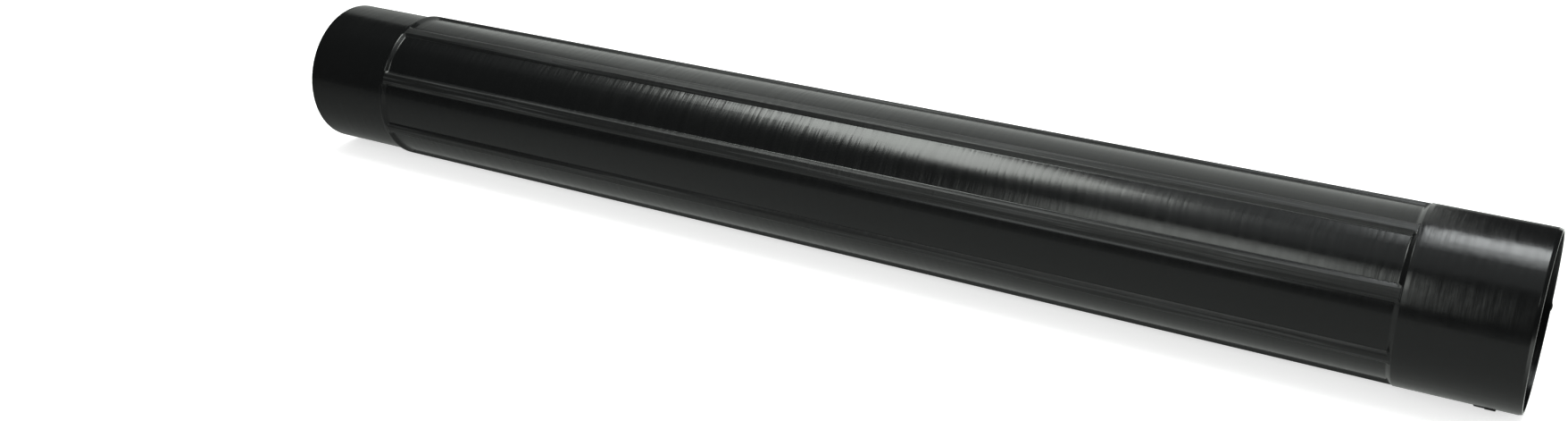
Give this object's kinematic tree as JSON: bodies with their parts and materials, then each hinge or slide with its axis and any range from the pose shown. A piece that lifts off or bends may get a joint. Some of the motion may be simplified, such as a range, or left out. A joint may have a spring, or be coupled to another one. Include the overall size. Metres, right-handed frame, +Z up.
{
  "type": "suction tube",
  "caption": "Straight black plastic suction tube with a plain spigot end, a stop ring, eight lengthwise ribs with sunken panels between them, and a socket end.",
  "frame": {"origin": "on the floor below the middle of the tube, which lies on its side", "axes": "+X along the tube, out of the socket's mouth; +Z up"},
  "size_m": [0.9008, 0.1108, 0.1107],
  "materials": {
    "black_plastic": "satin to glossy moulded black plastic, smooth on panels and collar, duller on the rib crests"
  },
  "bodies": {
    "root": {"suction_tube": "black_plastic"}
  },
  "joints": []
}
